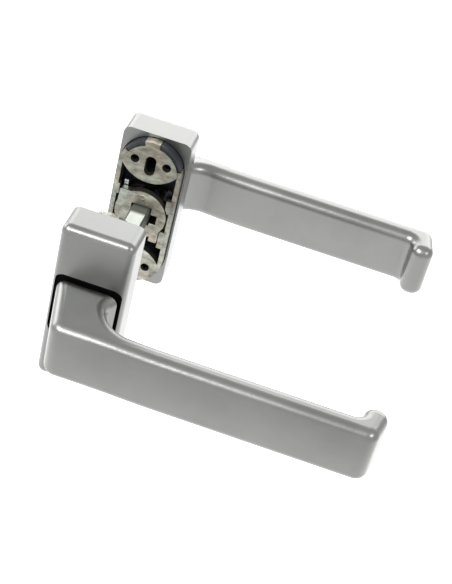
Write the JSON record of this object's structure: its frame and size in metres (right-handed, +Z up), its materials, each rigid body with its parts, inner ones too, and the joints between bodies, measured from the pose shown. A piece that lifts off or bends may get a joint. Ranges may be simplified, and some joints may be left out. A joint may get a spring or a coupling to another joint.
{
  "type": "door lever handle set",
  "caption": "Pair of flat satin door levers with short returned ends, on rectangular rosettes with sprung cassettes, joined by a square spindle.",
  "frame": {"origin": "on the spindle's axis, in the middle of the door leaf", "axes": "+X along the levers towards their free ends, +Y along the spindle from the front lever to the rear lever, +Z up"},
  "size_m": [0.1395, 0.144, 0.075],
  "materials": {
    "satin_aluminium": "satin anodised silver",
    "black_plastic": "moulded, slightly bluish black",
    "zinc_casting": "raw zinc die casting, slightly warm",
    "spring_steel": "oiled spring steel",
    "washer_steel": "plain",
    "black_steel": "blackened",
    "plated_steel": "drawn bar, zinc plated, slightly greenish"
  },
  "bodies": {
    "door_furniture": {"front_rosette": "satin_aluminium", "front_neck_bearing": "black_plastic", "front_spring_housing": "black_plastic", "front_base_plate": "zinc_casting", "front_return_spring": "spring_steel", "rear_rosette": "satin_aluminium", "rear_neck_bearing": "black_plastic", "rear_spring_housing": "black_plastic", "rear_base_plate": "zinc_casting", "rear_return_spring": "spring_steel"},
    "front_lever_set": {"front_lever": "satin_aluminium", "front_hub": "zinc_casting", "front_washer": "washer_steel", "front_retaining_ring": "spring_steel", "front_grub_screw": "black_steel"},
    "rear_lever_set": {"rear_lever": "satin_aluminium", "rear_hub": "zinc_casting", "rear_washer": "washer_steel", "rear_retaining_ring": "spring_steel", "rear_grub_screw": "black_steel"},
    "spindle_bar": {"spindle": "plated_steel"}
  },
  "joints": [
    {"name": "front_lever_turn", "type": "hinge", "parent": "door_furniture", "child": "front_lever_set", "pos_m": [0, 0, 0], "axis": [0, 1, 0], "range_deg": [0, 40], "stiffness_Nm_per_rad": 1.2, "springref_deg": -20.05, "deforming": ["front_return_spring"]},
    {"name": "rear_lever_turn", "type": "hinge", "parent": "door_furniture", "child": "rear_lever_set", "pos_m": [0, 0, 0], "axis": [0, 1, 0], "range_deg": [0, 40], "stiffness_Nm_per_rad": 1.2, "springref_deg": -20.05, "deforming": ["rear_return_spring"]},
    {"name": "spindle_turn", "type": "hinge", "parent": "door_furniture", "child": "spindle_bar", "pos_m": [0, 0, 0], "axis": [0, 1, 0], "range_deg": [0, 40]}
  ],
  "couplings": [
    {"joint": "rear_lever_turn", "follows": "front_lever_turn", "ratio": 1},
    {"joint": "spindle_turn", "follows": "front_lever_turn", "ratio": 1}
  ]
}
